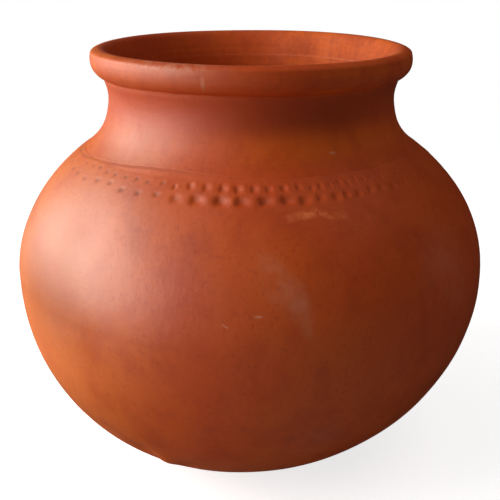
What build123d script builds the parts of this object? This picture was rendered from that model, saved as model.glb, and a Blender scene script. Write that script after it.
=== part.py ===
from build123d import *
from math import acos, atan, atan2, cos, degrees, hypot, sin, sqrt
import os

# Wide-mouthed, round-bellied water jar of fired terracotta, in millimetres.
# The jar is raised from five clay members, one on top of the other. Each one
# is seated on the member below in a thin layer of luting slip, and the whole is
# fired in one piece. The origin is the centre of the face that the jar rests
# on, +Z runs up the jar's axis, and the lengths below are all that is needed.

# Round body
belly_radius = 130.0
belly_height = 112.0
shoulder_rise = 94.5
rest_radius = 42.0
rest_edge_radius = 20.0
body_wall = 6.5
floor_thickness = 8.0
floor_edge_radius = 15.0

# Joints between the members
slip_thickness = 0.8
belly_seat_rise = 5.0
shoulder_ring_height = 18.9

# Two rows of punched marks round the shoulder, under the collar
lower_row_drop = 6.9
lower_mark_width = 5.6
lower_mark_depth = 1.5
lower_mark_count = 62
upper_row_drop = 2.8
upper_mark_width = 3.2
upper_mark_depth = 1.1
upper_mark_count = 82

# Neck collar, whose foot spreads over the shoulder and ends in a small ledge
waist_radius = 76.5
waist_lift = 25.3
neck_wall = 7.0
collar_spread = 12.5
ledge_overhang = 0.7
ledge_edge = 0.9
throat_spread = 15.5

# Rolled rim, with the potter's groove beneath it
groove_lift = 9.6
groove_flare = 2.9
groove_width = 1.6
rim_flare = 9.0
rim_lift = 11.5
lip_roll_radius = 5.2
rim_seat_rise = 3.5

# How far a cutting outline runs past the clay
overrun = 2.0


def outside_radius(height):
    """Radius of the upper body's outside at a height."""
    return belly_radius * sqrt(1 - ((height - belly_height) / shoulder_rise) ** 2)


def body_curve(radius, reach, low_turn, high_turn):
    """Draw a stretch of the body's outline in the line in hand, upwards.

    It is an exact arc of an ellipse, centred at the height of the widest line,
    with the radius as its half width and the reach as its half height. The
    turns are in radians, up from the widest line.
    """
    middle_turn = (low_turn + high_turn) / 2
    pull_share = cos((high_turn - low_turn) / 2)
    Bezier(
        (radius * cos(low_turn), belly_height + reach * sin(low_turn)),
        (radius * cos(middle_turn) / pull_share, belly_height + reach * sin(middle_turn) / pull_share),
        (radius * cos(high_turn), belly_height + reach * sin(high_turn)),
        weights=[1, pull_share, 1],
    )


# Sizes of the body's curves: the lower one is cut off flat by the resting face.
bottom_reach = belly_height / sqrt(1 - (rest_radius / belly_radius) ** 2)
inner_belly_radius = belly_radius - body_wall
inner_bottom_reach = bottom_reach - body_wall
inner_shoulder_rise = shoulder_rise - body_wall
floor_drop_share = (belly_height - floor_thickness) / inner_bottom_reach
floor_radius = inner_belly_radius * sqrt(1 - floor_drop_share**2)

# The collar's seat is the shoulder's mouth, trimmed level.
collar_seat_radius = waist_radius + collar_spread
collar_seat_turn = acos(collar_seat_radius / belly_radius)
collar_seat_height = belly_height + shoulder_rise * sin(collar_seat_turn)
ledge_height = collar_seat_height + slip_thickness
ledge_radius = collar_seat_radius + ledge_overhang

# Neck and rim, outside
waist_height = collar_seat_height + waist_lift
groove_height = waist_height + groove_lift
groove_radius = waist_radius + groove_flare
lip_height = groove_height + rim_lift
lip_radius = waist_radius + rim_flare
lip_centre_radius = lip_radius - lip_roll_radius
crest_height = lip_height + lip_roll_radius

# Inside, the neck flares on one arc that runs into the lip's roll without a break.
inner_waist_radius = waist_radius - neck_wall
flare_run = lip_centre_radius - inner_waist_radius
flare_climb = lip_height - waist_height
flare_radius = (flare_run**2 + flare_climb**2 - lip_roll_radius**2) / (2 * (flare_run - lip_roll_radius))
roll_turn = degrees(atan2(flare_climb, flare_run - flare_radius))

# Inside, the throat spreads from the neck's waist on to the shoulder's curve.
throat_foot_radius = inner_waist_radius + throat_spread
throat_turn = acos(throat_foot_radius / inner_belly_radius)
throat_foot_height = belly_height + inner_shoulder_rise * sin(throat_turn)

# Whole wall from the resting face over the lip and back down to the floor
with BuildSketch(Plane.XZ) as wall:
    with BuildLine():
        Line((0, floor_thickness), (0, 0))
        Line((0, 0), (rest_radius, 0))
        body_curve(belly_radius, bottom_reach, -acos(rest_radius / belly_radius), 0)
        body_curve(belly_radius, shoulder_rise, 0, collar_seat_turn)
        Polyline(
            (collar_seat_radius, collar_seat_height),
            (collar_seat_radius, ledge_height),
            (ledge_radius, ledge_height),
            (ledge_radius, ledge_height + ledge_edge),
        )
        waist = (waist_radius, waist_height)
        groove = (groove_radius, groove_height)
        TangentArc(waist, (ledge_radius, ledge_height + ledge_edge), tangent=(0, -1))
        TangentArc(waist, groove, tangent=(0, 1))
        TangentArc((lip_radius, lip_height), groove, tangent=(0, -1))
        CenterArc((lip_centre_radius, lip_height), lip_roll_radius, 0, roll_turn)
        flare_centre = (inner_waist_radius + flare_radius, waist_height)
        CenterArc(flare_centre, flare_radius, roll_turn, 180 - roll_turn)
        inner_waist = (inner_waist_radius, waist_height)
        TangentArc(inner_waist, (throat_foot_radius, throat_foot_height), tangent=(0, -1))
        body_curve(inner_belly_radius, inner_shoulder_rise, 0, throat_turn)
        body_curve(inner_belly_radius, inner_bottom_reach, -acos(floor_radius / inner_belly_radius), 0)
        Line((floor_radius, floor_thickness), (0, floor_thickness))
    make_face()
    rest_edge = wall.vertices().sort_by_distance((rest_radius, 0))[0]
    fillet(rest_edge, rest_edge_radius)
    floor_edge = wall.vertices().sort_by_distance((floor_radius, floor_thickness))[0]
    fillet(floor_edge, floor_edge_radius)
    with Locations((groove_radius, groove_height)):
        Circle(groove_width / 2, mode=Mode.SUBTRACT)


def seat_line(radius, height, width, rise, slip=0):
    """Line of a joint's seat, outwards from the axis.

    It is level but for the stretch across the wall, which rises inwards. The
    slip's upper face is the same line, raised by the layer's thickness.
    """
    slope = rise / width
    foot = height + slip / cos(atan(slope))
    inner_radius = radius - width - overrun
    outer_radius = radius + overrun
    inner_height = foot + slope * (radius - inner_radius)
    outer_height = foot + slope * (radius - outer_radius)
    return [
        (0, inner_height),
        (inner_radius, inner_height),
        (outer_radius, outer_height),
        (belly_radius + 2 * overrun, outer_height),
    ]


def wall_between(below, above):
    """Draw the stretch of wall between two seat lines in the sketch in hand."""
    add(wall.sketch_local)
    Polygon(*below, *reversed(above), align=None, mode=Mode.INTERSECT)


# Seats from the ground up, each as a lower line and the line on top of its slip
belly_seat = (belly_radius, belly_height, body_wall, belly_seat_rise)
shoulder_seat_height = collar_seat_height - shoulder_ring_height
shoulder_seat = (outside_radius(shoulder_seat_height), shoulder_seat_height, body_wall, 0)
collar_seat = (collar_seat_radius, collar_seat_height, neck_wall, 0)
rim_seat_height = groove_height - slip_thickness / 2
rim_seat = (groove_radius, rim_seat_height, groove_radius - inner_waist_radius, rim_seat_rise)
ground = seat_line(rest_radius, -overrun, body_wall, 0)
sky = seat_line(lip_radius, crest_height + overrun, neck_wall, 0)

# Base bowl: the round bottom, pressed in a mould that ends at the widest line
with BuildPart() as base_bowl:
    with BuildSketch(Plane.XZ):
        wall_between(ground, seat_line(*belly_seat))
    revolve(axis=Axis.Z)

# Slip between the base bowl's bevelled edge and the belly wall
with BuildPart() as belly_slip_joint:
    with BuildSketch(Plane.XZ):
        wall_between(seat_line(*belly_seat), seat_line(*belly_seat, slip_thickness))
    revolve(axis=Axis.Z)

# Belly wall: the band from the widest line up to the shoulder
with BuildPart() as belly_wall:
    with BuildSketch(Plane.XZ):
        wall_between(seat_line(*belly_seat, slip_thickness), seat_line(*shoulder_seat))
    revolve(axis=Axis.Z)

# Slip between the belly wall and the shoulder ring
with BuildPart() as shoulder_slip_joint:
    with BuildSketch(Plane.XZ):
        wall_between(seat_line(*shoulder_seat), seat_line(*shoulder_seat, slip_thickness))
    revolve(axis=Axis.Z)


def row_ball(drop, width, depth):
    """Ball that presses one mark of a row into the shoulder.

    Gives the ball's radius, and the radius and height at which its centre
    stands, out along the shoulder's normal.
    """
    height = collar_seat_height - drop
    radius = outside_radius(height)
    ball_radius = ((width / 2) ** 2 + depth**2) / (2 * depth)
    across = radius / belly_radius**2
    upward = (height - belly_height) / shoulder_rise**2
    stand_off = (ball_radius - depth) / hypot(across, upward)
    return ball_radius, radius + across * stand_off, height + upward * stand_off


# The balls lie on their sides, so that neither a pole nor a seam meets the clay.
ball_lay = (90, 0, 0)

# Shoulder ring: carries both rows of marks, and its mouth is the collar's seat
with BuildPart() as shoulder_ring:
    with BuildSketch(Plane.XZ):
        wall_between(seat_line(*shoulder_seat, slip_thickness), seat_line(*collar_seat))
    revolve(axis=Axis.Z)
    ball_radius, row_radius, row_height = row_ball(lower_row_drop, lower_mark_width, lower_mark_depth)
    with Locations(Plane.XY.offset(row_height)):
        with PolarLocations(row_radius, lower_mark_count):
            Sphere(ball_radius, rotation=ball_lay, mode=Mode.SUBTRACT)
    ball_radius, row_radius, row_height = row_ball(upper_row_drop, upper_mark_width, upper_mark_depth)
    with Locations(Plane.XY.offset(row_height)):
        with PolarLocations(row_radius, upper_mark_count):
            Sphere(ball_radius, rotation=ball_lay, mode=Mode.SUBTRACT)

# Slip between the shoulder ring's level mouth and the collar's foot
with BuildPart() as neck_slip_joint:
    with BuildSketch(Plane.XZ):
        wall_between(seat_line(*collar_seat), seat_line(*collar_seat, slip_thickness))
    revolve(axis=Axis.Z)

# Neck collar: the short hollow-sided neck, from the ledge up to the groove
with BuildPart() as neck_collar:
    with BuildSketch(Plane.XZ):
        wall_between(seat_line(*collar_seat, slip_thickness), seat_line(*rim_seat))
    revolve(axis=Axis.Z)

# Slip between the collar's bevelled top and the rim
with BuildPart() as rim_slip_joint:
    with BuildSketch(Plane.XZ):
        wall_between(seat_line(*rim_seat), seat_line(*rim_seat, slip_thickness))
    revolve(axis=Axis.Z)

# Rim roll: the thick coil, turned outwards and rounded over
with BuildPart() as rim_roll:
    with BuildSketch(Plane.XZ):
        wall_between(seat_line(*rim_seat, slip_thickness), sky)
    revolve(axis=Axis.Z)

os.makedirs("parts", exist_ok=True)

base_bowl.part.label = "base_bowl"
export_step(base_bowl.part, "parts/base_bowl.step")

belly_slip_joint.part.label = "belly_slip_joint"
export_step(belly_slip_joint.part, "parts/belly_slip_joint.step")

belly_wall.part.label = "belly_wall"
export_step(belly_wall.part, "parts/belly_wall.step")

shoulder_slip_joint.part.label = "shoulder_slip_joint"
export_step(shoulder_slip_joint.part, "parts/shoulder_slip_joint.step")

shoulder_ring.part.label = "shoulder_ring"
export_step(shoulder_ring.part, "parts/shoulder_ring.step")

neck_slip_joint.part.label = "neck_slip_joint"
export_step(neck_slip_joint.part, "parts/neck_slip_joint.step")

neck_collar.part.label = "neck_collar"
export_step(neck_collar.part, "parts/neck_collar.step")

rim_slip_joint.part.label = "rim_slip_joint"
export_step(rim_slip_joint.part, "parts/rim_slip_joint.step")

rim_roll.part.label = "rim_roll"
export_step(rim_roll.part, "parts/rim_roll.step")
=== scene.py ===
"""Looks of a wide-mouthed, round-bellied water jar of fired terracotta.

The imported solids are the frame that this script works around. Each member of the
jar is turned again here as a finer mesh, gets the wobble, dents and tool marks of
work by hand, and is dressed in burnished, wiped or slipped clay. Turns are counted
from the front, where -Y points, towards +X. Lengths are in metres and turns in
radians, but the tables of hand marks and stains say millimetres and degrees, and
lamps and camera are placed in metres and degrees.
"""

import functools
import logging
import math
import operator
from collections.abc import Callable
from dataclasses import dataclass, field
from enum import Enum

import bmesh
import bpy
import numpy as np
from mathutils import Matrix, Vector


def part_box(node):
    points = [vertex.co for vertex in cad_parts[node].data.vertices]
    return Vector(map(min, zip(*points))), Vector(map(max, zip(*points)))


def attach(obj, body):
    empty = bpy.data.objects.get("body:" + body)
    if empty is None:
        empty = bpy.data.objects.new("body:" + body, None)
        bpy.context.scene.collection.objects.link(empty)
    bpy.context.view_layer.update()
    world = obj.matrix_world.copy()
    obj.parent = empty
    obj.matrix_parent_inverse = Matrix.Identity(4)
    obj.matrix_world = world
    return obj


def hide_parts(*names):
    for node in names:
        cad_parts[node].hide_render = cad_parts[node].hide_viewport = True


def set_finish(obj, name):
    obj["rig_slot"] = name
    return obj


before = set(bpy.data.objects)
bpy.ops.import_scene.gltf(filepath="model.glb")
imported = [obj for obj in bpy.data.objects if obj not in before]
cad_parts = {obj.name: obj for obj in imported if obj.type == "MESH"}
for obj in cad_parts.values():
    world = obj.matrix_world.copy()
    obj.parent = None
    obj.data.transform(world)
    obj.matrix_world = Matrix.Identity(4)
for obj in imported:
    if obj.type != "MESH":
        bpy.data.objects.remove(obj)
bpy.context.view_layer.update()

log = logging.getLogger("water_jar")

FULL_TURN = 2 * math.pi
MM = 0.001
Spot = tuple[float, float]
Colour = tuple[float, float, float, float]
Triple = tuple[float, float, float]
Tint = bpy.types.NodeSocket | Colour
Table = tuple[tuple[float, float], ...]

UP = (0.0, 0.0, 1.0)
RIGHT = (1.0, 0.0, 0.0)
OWN_SIDE_DEPTH = 40 * MM
OWN_SIDE_EASE = 10 * MM


class Slot(Enum):
    """The record's material slots."""

    BURNISHED = "burnished_terracotta"
    WIPED = "wiped_terracotta"
    SLIP = "fired_slip"


class Side(Enum):
    """Skins of the wall that a colour can be kept to."""

    BOTH = "both"
    OUTSIDE = "outside"
    INSIDE = "inside"


class Ray(Enum):
    """Kinds of ray that the studio treats apart, by the Light Path node's outputs."""

    CAMERA = "Is Camera Ray"
    GLOSSY = "Is Glossy Ray"


def arc(centre: Spot, radii: Spot, start: float, end: float) -> np.ndarray:
    """Trace an arc of an ellipse.

    Args:
        centre: Radius and height of the centre.
        radii: Half width and half height.
        start: First turn, up from the level line outwards.
        end: Last turn.

    Returns:
        Points as rows of radius and height.
    """
    turns = np.linspace(start, end, 500)
    return np.column_stack((centre[0] + radii[0] * np.cos(turns), centre[1] + radii[1] * np.sin(turns)))


def upright_arc(stand: Spot, through: Spot) -> np.ndarray:
    """Trace the arc that leaves one point straight up or down and ends at another.

    Args:
        stand: Radius and height of the point where the arc is upright.
        through: Radius and height of the arc's other end.

    Returns:
        Points as rows of radius and height, from the upright end.
    """
    run, climb = through[0] - stand[0], through[1] - stand[1]
    bend = (run**2 + climb**2) / (2 * run)
    start = math.copysign(math.pi, climb) if bend > 0 else 0.0
    end = math.atan2(climb, run - bend)
    return arc((stand[0] + bend, stand[1]), (abs(bend), abs(bend)), start, end)


def softened(first: np.ndarray, second: np.ndarray, reach: float) -> np.ndarray:
    """Join two lines that meet in a corner, and ease the corner over.

    Args:
        first: Points that end at the corner.
        second: Points that start at the corner.
        reach: Length of each line that the easing takes up.

    Returns:
        Points of the joined line.
    """
    corner = first[-1]
    before = first[np.hypot(*(first - corner).T) > reach]
    after = second[np.hypot(*(second - corner).T) > reach]
    share = np.linspace(0, 1, 60)[:, None]
    start, end = before[-1], after[0]
    eased = (1 - share) ** 2 * start + 2 * share * (1 - share) * corner + share**2 * end
    return np.vstack((before, eased, after))


def smooth_step(value: np.ndarray, low: float, high: float) -> np.ndarray:
    """Ease from 0 to 1 as a value goes from low to high."""
    share = np.clip((value - low) / (high - low), 0, 1)
    return share * share * (3 - 2 * share)


def hump(away: np.ndarray) -> np.ndarray:
    """Soft hump, 1 at its middle, by how many spreads away a point lies."""
    return np.exp(-0.5 * away**2)


def by_turn(turn: np.ndarray, table: Table) -> np.ndarray:
    """Read a table of turns in degrees and values, and ease between its rows."""
    return np.interp(np.degrees(turn), *zip(*table))


class Outline:
    """Line of a turned surface, from the axis up to the crest of the lip."""

    step = 0.05 * MM
    most_bend = 0.16

    def __init__(self, points: np.ndarray, softness: float) -> None:
        """Space the points evenly and ease the corners.

        Args:
            points: Rows of radius and height.
            softness: Spread of the easing, in metres.
        """
        lengths = self._lengths(points)
        places = np.arange(0, lengths[-1], self.step)
        even = np.column_stack([np.interp(places, lengths, column) for column in points.T])
        even = np.vstack((even, points[-1]))
        wide = int(4 * softness / self.step)
        weights = hump(np.arange(-wide, wide + 1) * self.step / softness)
        padded = np.pad(even, ((wide, wide), (0, 0)), mode="reflect", reflect_type="odd")
        self.points = np.column_stack(
            [np.convolve(column, weights / weights.sum(), mode="valid") for column in padded.T]
        )
        self.lengths = self._lengths(self.points)

    @staticmethod
    def _lengths(points: np.ndarray) -> np.ndarray:
        """Length of the line up to each of its points."""
        return np.concatenate(([0.0], np.cumsum(np.hypot(*np.diff(points, axis=0).T))))

    @property
    def end(self) -> float:
        """Length of the whole line."""
        return float(self.lengths[-1])

    def place(self, height: np.ndarray | float) -> np.ndarray | float:
        """Length along the line at which it reaches a height."""
        return np.interp(height, self.points[:, 1], self.lengths)

    def radius(self, height: np.ndarray | float) -> np.ndarray | float:
        """Radius of the line at a height."""
        return np.interp(height, self.points[:, 1], self.points[:, 0])

    def _normals(self) -> tuple[np.ndarray, np.ndarray]:
        """Outward and upward parts of the normals at the line's own points."""
        run, climb = np.gradient(self.points, axis=0).T
        return climb / np.hypot(run, climb), -run / np.hypot(run, climb)

    def normal(self, height: np.ndarray) -> tuple[np.ndarray, ...]:
        """Outward and upward parts of the line's normal at a height."""
        return tuple(np.interp(height, self.points[:, 1], part) for part in self._normals())

    def push(self, amount: np.ndarray) -> None:
        """Move the line's points out along their normals, each by its own amount."""
        self.points = self.points + np.column_stack([part * amount for part in self._normals()])
        self.lengths = self._lengths(self.points)

    def stretch(self, start: float, end: float, row: float) -> np.ndarray:
        """Take points from a stretch of the line, closer together where it bends.

        Args:
            start: Length along the line at which the stretch starts.
            end: Length along the line at which it ends.
            row: Longest gap between two points.

        Returns:
            Points as rows of radius and height.
        """
        within = (self.lengths > start) & (self.lengths < end)
        places = np.concatenate(([start], self.lengths[within], [end]))
        run, climb = (np.interp(places, self.lengths, column) for column in self.points.T)
        heading = np.unwrap(np.arctan2(np.diff(climb), np.diff(run)))
        effort = np.diff(places) / row
        effort[1:] += np.abs(np.diff(heading)) / self.most_bend
        total = np.concatenate(([0.0], np.cumsum(effort)))
        chosen = np.interp(np.linspace(0, total[-1], math.ceil(total[-1]) + 1), total, places)
        return np.column_stack([np.interp(chosen, self.lengths, column) for column in self.points.T])


@dataclass(frozen=True)
class JarForm:
    """Sizes of the turned jar, as the solids have them."""

    belly_radius: float = 130.0 * MM
    belly_height: float = 112.0 * MM
    shoulder_rise: float = 94.5 * MM
    rest_radius: float = 42.0 * MM
    rest_edge_reach: float = 3.0 * MM
    body_wall: float = 6.5 * MM
    floor_thickness: float = 8.0 * MM
    floor_radius: float = 45.2 * MM
    floor_edge_reach: float = 2.6 * MM
    slip_thickness: float = 0.8 * MM
    waist_radius: float = 76.5 * MM
    waist_lift: float = 25.3 * MM
    neck_wall: float = 7.0 * MM
    collar_spread: float = 12.5 * MM
    ledge_overhang: float = 0.7 * MM
    ledge_edge: float = 0.9 * MM
    throat_spread: float = 15.5 * MM
    groove_lift: float = 9.6 * MM
    groove_flare: float = 2.9 * MM
    groove_depth: float = 0.6 * MM
    groove_spread: float = 1.1 * MM
    rim_flare: float = 9.0 * MM
    rim_lift: float = 11.5 * MM
    lip_roll_radius: float = 5.2 * MM
    corner_softness: float = 0.28 * MM
    flat_points: int = 200
    ridge_pitch: float = 4.3 * MM
    ridge_height: float = 0.03 * MM
    ridge_foot: float = 25 * MM
    ridge_ease: float = 17 * MM
    ridge_end: float = 4 * MM

    @property
    def collar_seat(self) -> Spot:
        """Find the shoulder's mouth, where the collar sits.

        Returns:
            Its radius and height.
        """
        radius = self.waist_radius + self.collar_spread
        rise = math.sqrt(1 - (radius / self.belly_radius) ** 2)
        return radius, self.belly_height + self.shoulder_rise * rise

    @property
    def waist(self) -> Spot:
        """Radius and height of the neck's narrowest line."""
        return self.waist_radius, self.collar_seat[1] + self.waist_lift

    @property
    def groove(self) -> Spot:
        """Radius and height of the groove under the rim."""
        return self.waist_radius + self.groove_flare, self.waist[1] + self.groove_lift

    @property
    def lip_centre(self) -> Spot:
        """Radius and height of the centre that the lip is rolled about."""
        radius = self.waist_radius + self.rim_flare - self.lip_roll_radius
        return radius, self.groove[1] + self.rim_lift

    def outside(self) -> Outline:
        """Draw the outside.

        Returns:
            The line from the middle of the resting face to the crest.
        """
        centre = (0.0, self.belly_height)
        reach = self.belly_height / math.sqrt(1 - (self.rest_radius / self.belly_radius) ** 2)
        rest = np.linspace((0.0, 0.0), (self.rest_radius, 0.0), self.flat_points)
        rest_turn = math.acos(self.rest_radius / self.belly_radius)
        bottom = arc(centre, (self.belly_radius, reach), -rest_turn, 0)
        seat_radius, seat_height = self.collar_seat
        seat_turn = math.acos(seat_radius / self.belly_radius)
        shoulder = arc(centre, (self.belly_radius, self.shoulder_rise), 0, seat_turn)
        foot_height = seat_height + self.slip_thickness
        ledge_radius = seat_radius + self.ledge_overhang
        ledge_top = (ledge_radius, foot_height + self.ledge_edge)
        ledge = np.array([(seat_radius, foot_height), (ledge_radius, foot_height), ledge_top])
        lip_radius, lip_height = self.lip_centre
        roll = self.lip_roll_radius
        points = np.vstack(
            (
                softened(rest, bottom, self.rest_edge_reach),
                shoulder,
                ledge,
                upright_arc(self.waist, ledge_top)[::-1],
                upright_arc(self.waist, self.groove),
                upright_arc((lip_radius + roll, lip_height), self.groove)[::-1],
                arc(self.lip_centre, (roll, roll), 0, math.pi / 2),
            )
        )
        outline = Outline(points, self.corner_softness)
        away = (outline.lengths - outline.place(self.groove[1])) / self.groove_spread
        outline.push(-self.groove_depth * hump(away))
        return outline

    def inside(self) -> Outline:
        """Draw the inside.

        Returns:
            The line from the middle of the floor to the crest.
        """
        centre = (0.0, self.belly_height)
        radius = self.belly_radius - self.body_wall
        drop = self.belly_height - self.floor_thickness
        reach = drop / math.sqrt(1 - (self.floor_radius / radius) ** 2)
        floor_edge = (self.floor_radius, self.floor_thickness)
        floor = np.linspace((0.0, self.floor_thickness), floor_edge, self.flat_points)
        bottom = arc(centre, (radius, reach), -math.acos(self.floor_radius / radius), 0)
        rise = self.shoulder_rise - self.body_wall
        waist = (self.waist_radius - self.neck_wall, self.waist[1])
        throat_radius = waist[0] + self.throat_spread
        throat_turn = math.acos(throat_radius / radius)
        throat_foot = (throat_radius, self.belly_height + rise * math.sin(throat_turn))
        roll = self.lip_roll_radius
        run = self.lip_centre[0] - waist[0]
        climb = self.lip_centre[1] - waist[1]
        flare = (run**2 + climb**2 - roll**2) / (2 * (run - roll))
        roll_turn = math.atan2(climb, run - flare)
        points = np.vstack(
            (
                softened(floor, bottom, self.floor_edge_reach),
                arc(centre, (radius, rise), 0, throat_turn),
                upright_arc(waist, throat_foot)[::-1],
                arc((waist[0] + flare, waist[1]), (flare, flare), math.pi, roll_turn),
                arc(self.lip_centre, (roll, roll), roll_turn, math.pi / 2),
            )
        )
        outline = Outline(points, self.corner_softness)
        heights, lip_height = outline.points[:, 1], self.lip_centre[1]
        ridge_start = waist[1] - self.ridge_foot
        in_neck = smooth_step(heights, ridge_start, ridge_start + self.ridge_ease)
        in_neck = in_neck * (1 - smooth_step(heights, lip_height - self.ridge_end, lip_height))
        waves = np.sin(FULL_TURN * outline.lengths / self.ridge_pitch)
        outline.push(in_neck * self.ridge_height * waves)
        return outline


class Wander:
    """Smooth random wandering round the jar, made of waves that close on themselves."""

    most = 1.4

    def __init__(self, seed: int, waves: int, most_rounds: int, climb: float) -> None:
        """Draw the waves.

        Args:
            seed: Seed of the draw.
            waves: How many waves are summed.
            most_rounds: Most whole waves round the jar.
            climb: Spread of the waves' turns for each metre of height.
        """
        draw = np.random.default_rng(seed)
        self.rounds = draw.integers(1, most_rounds + 1, waves)
        self.climb = draw.normal(0, climb, waves)
        self.start = draw.uniform(0, FULL_TURN, waves)
        self.share = 1 / math.sqrt(waves)

    def __call__(self, turn: np.ndarray, height: np.ndarray | float = 0.0) -> np.ndarray:
        """Add up the waves at some points.

        Args:
            turn: Turns of the points.
            height: Heights of the points.

        Returns:
            Size of the wandering, between -1 and 1.
        """
        total = np.zeros_like(turn)
        for rounds, climb, start in zip(self.rounds, self.climb, self.start):
            total += np.cos(rounds * turn + climb * height + start)
        return np.clip(total * self.share, -self.most, self.most) / self.most


@dataclass(frozen=True)
class RowOfMarks:
    """A row of marks that a stick's end pressed into the soft shoulder."""

    drop: float
    width: float
    tall: float
    depth: float
    count: int
    start: float
    lean: float
    seed: int
    stray: float = 0.006
    lift_share: float = 0.1
    size_shares: Spot = (0.84, 1.12)
    depth_shares: Spot = (0.7, 1.15)
    lean_spread: float = 0.14
    crowded_turn: float = math.radians(28)
    crowded_spread: float = math.radians(14)
    crowding: float = 0.6
    steepness: float = 0.3
    burr_share: float = 0.3
    burr_place: float = 1.15
    burr_spread: float = 0.5
    burr_fall: float = 1.3
    hollow_falls: Spot = (2.2, 2.0)
    hollow_powers: Spot = (2.2, 2.6)
    flanks: Spot = (1.9, 0.85)
    hole_flank: float = 1.3
    hole_widening: float = 0.2
    hole_lowering: float = 0.25
    hole_flatness: float = 0.75
    least_tall_share: float = 0.35
    # Dirt and painted shade in a dent and in a round hole.
    dirt_and_shade_shares: Spot = (0.3, 0.9)
    turn_steps: int = 3600
    breadths: Table = (
        (-180, 0.75), (-90, 0.56), (-30, 0.56), (-13, 1.0), (11, 1.0), (20, 0.58), (60, 0.5),
        (120, 0.65), (180, 0.75),
    )
    fullness: Table = (
        (-180, 0.75), (-125, 0.7), (-88, 0.25), (-72, 0.3), (-60, 0.75), (-25, 0.75), (-8, 1.0),
        (10, 0.9), (24, 0.6), (40, 0.4), (62, 0.2), (90, 0.5), (180, 0.75),
    )
    holes: Table = ((-180, 0.0), (-150, 0.0), (-110, 1.0), (-30, 1.0), (-15, 0.0), (180, 0.0))

    def centres(self) -> np.ndarray:
        """Space the marks, which stand closer together to the right of the front.

        Returns:
            Turns of the marks' middles.
        """
        turns = np.linspace(0, FULL_TURN, self.turn_steps + 1)
        away = (self.start + turns - self.crowded_turn) / self.crowded_spread
        behind = away - FULL_TURN / self.crowded_spread
        crowd = 1 + self.crowding * (np.exp(-(away**2)) + np.exp(-(behind**2)))
        total = np.concatenate(([0.0], np.cumsum(crowd[:-1])))
        return self.start + np.interp(np.arange(self.count) / self.count * total[-1], total, turns)

    def relief(
        self, turn: np.ndarray, place: np.ndarray, radius: np.ndarray
    ) -> tuple[np.ndarray, np.ndarray]:
        """Work out how far the row moves the clay.

        At the left a mark is a round hole, darkened by dirt and painted shade, and elsewhere a dent dragged
        to one side.

        Args:
            turn: Turns of the points.
            place: Lengths of the points along the outline, up from the row.
            radius: Radius of the points.

        Returns:
            How far each point moves out, in metres, and how much dirt and painted shade it gets
            in a mark, from 0 to 1, growing with the mark's depth.
        """
        draw = np.random.default_rng(self.seed)
        strays = draw.uniform(-self.stray, self.stray, self.count)
        lifts = draw.normal(0, self.lift_share * self.tall, self.count)
        sizes = draw.uniform(*self.size_shares, self.count)
        depths = draw.uniform(*self.depth_shares, self.count)
        leans = self.lean + draw.normal(0, self.lean_spread, self.count)
        centres = self.centres() + strays
        around = np.concatenate((centres[-2:] - FULL_TURN, centres, centres[:2] + FULL_TURN))
        turned = (turn - self.start) % FULL_TURN + self.start
        nearest = np.clip(np.searchsorted(around, turned), 1, len(around) - 2)
        move = np.zeros_like(turn)
        pressed = np.zeros_like(turn)
        for neighbour in (-1, 0, 1):
            index = nearest + neighbour
            mark = (index - 2) % self.count
            front = (around[index] + math.pi) % FULL_TURN - math.pi
            broad, full, hole = (
                by_turn(front, table) for table in (self.breadths, self.fullness, self.holes)
            )
            half = self.width / 2 * sizes[mark] * broad * (1 + self.hole_widening * hole)
            tall_share = self.least_tall_share + (1 - self.least_tall_share) * broad
            half_tall = self.tall / 2 * sizes[mark] * tall_share * (1 - self.hole_lowering * hole)
            across = (turned - around[index]) * radius
            up = place - lifts[mark]
            side = (across * np.cos(leans[mark]) - up * np.sin(leans[mark])) / half
            rise = (across * np.sin(leans[mark]) + up * np.cos(leans[mark])) / half_tall
            offset = side + self.steepness * (1 - hole)
            flank = np.where(offset < 0, *self.flanks)
            offset *= flank + (self.hole_flank - flank) * hole
            falls = zip((offset, rise), self.hollow_falls, self.hollow_powers)
            hollow = np.exp(-sum(fall * np.abs(away) ** power for away, fall, power in falls))
            past = (side - self.burr_place) / self.burr_spread
            burr = np.exp(-(past**2) - self.burr_fall * rise**2)
            depth = self.depth * depths[mark] * full * (1 - self.hole_flatness * hole)
            move += depth * (self.burr_share * (1 - hole) * burr - hollow)
            # Dirt and painted shade in the mark's hollow, strongest in the round holes at the left.
            shade = hollow ** (2 - hole) * depths[mark] * full
            pressed = np.maximum(pressed, shade * (self.dirt_and_shade_shares[0] + self.dirt_and_shade_shares[1] * hole))
        return move, np.clip(pressed, 0, 1)


@dataclass(frozen=True)
class Knock:
    """One soft dent or lump: its turn in degrees, and its height and sizes in millimetres."""

    turn: float
    height: float
    across: float
    tall: float
    out: float

    def __call__(self, turn: np.ndarray, height: np.ndarray, radius: np.ndarray) -> np.ndarray:
        """Work out how far the knock moves points out.

        Args:
            turn: Turns of the points.
            height: Heights of the points.
            radius: Radius of the points.

        Returns:
            How far each point moves, in metres.
        """
        across = ((turn - math.radians(self.turn) + math.pi) % FULL_TURN - math.pi) * radius
        up = (height - self.height * MM) / (self.tall * MM)
        return self.out * MM * np.exp(-0.5 * ((across / (self.across * MM)) ** 2 + up**2))


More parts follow.
